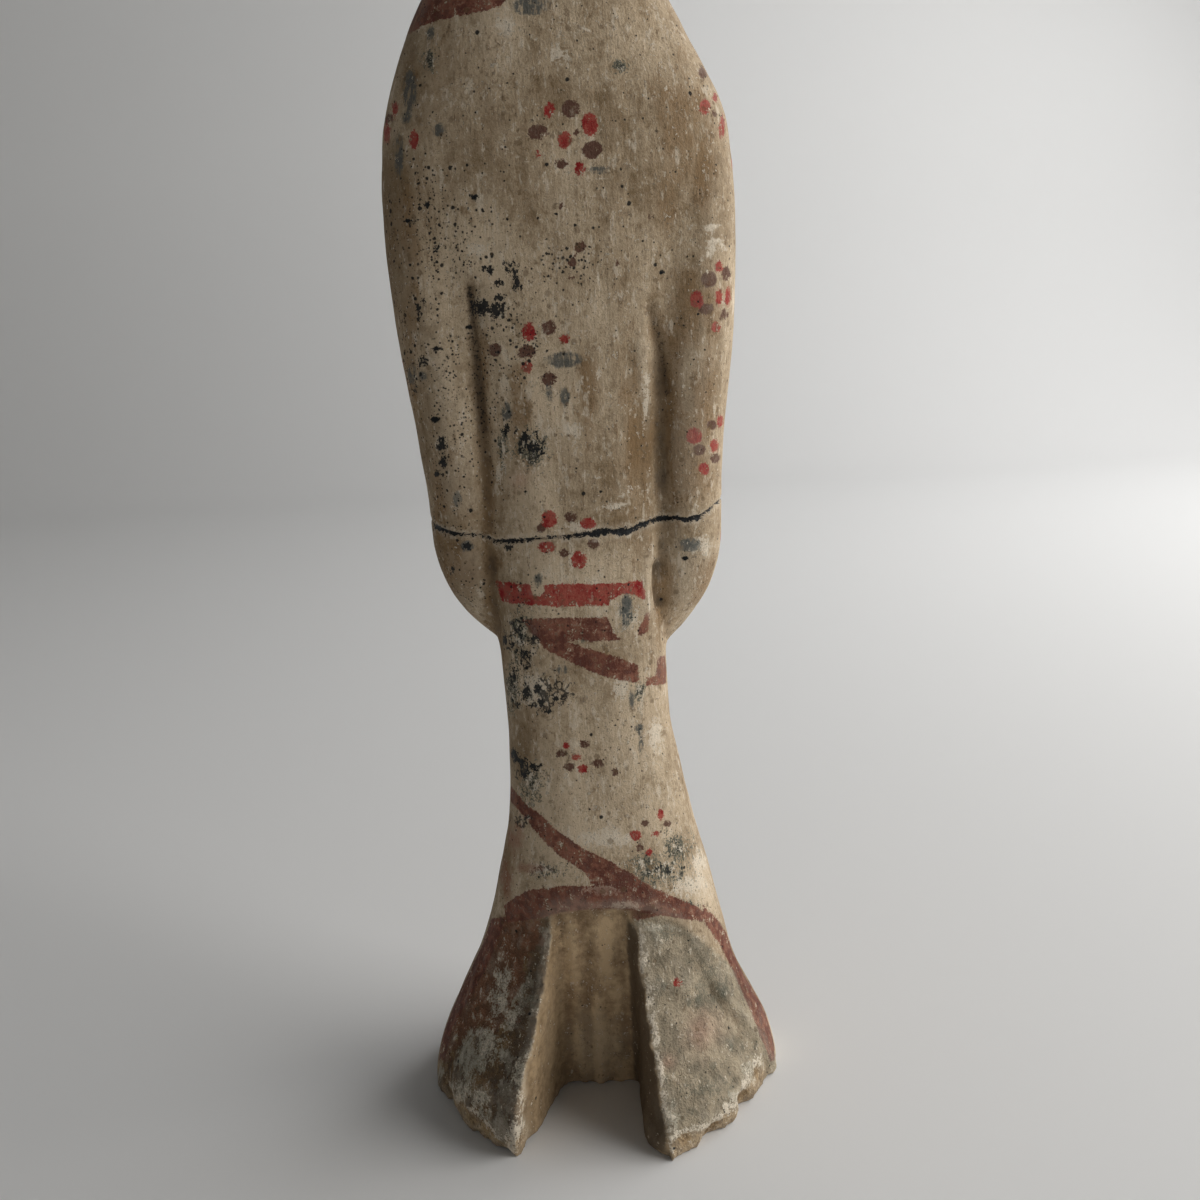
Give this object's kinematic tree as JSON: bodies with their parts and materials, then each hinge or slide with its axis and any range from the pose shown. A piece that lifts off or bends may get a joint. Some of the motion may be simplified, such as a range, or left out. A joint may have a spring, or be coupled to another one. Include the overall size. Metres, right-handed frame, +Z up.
{
  "type": "painted terracotta court lady figure",
  "caption": "Standing fired-clay court lady in a flared robe with a split swallow-tail hem at the back, hands joined inside long sleeves, painted with dot rosettes and red bands over pale slip",
  "frame": {"origin": "on the floor, under the body's axis, in the flat underside that the figure stands on", "axes": "+Z up, -Y the way the lady faces, +X her left"},
  "size_m": [0.1315, 0.1095, 0.4899],
  "materials": {
    "painted_terracotta": "low-fired unglazed clay under worn cream slip, with faded red, maroon and purple-brown paint"
  },
  "bodies": {
    "root": {"court_lady_figure": "painted_terracotta"}
  },
  "joints": []
}
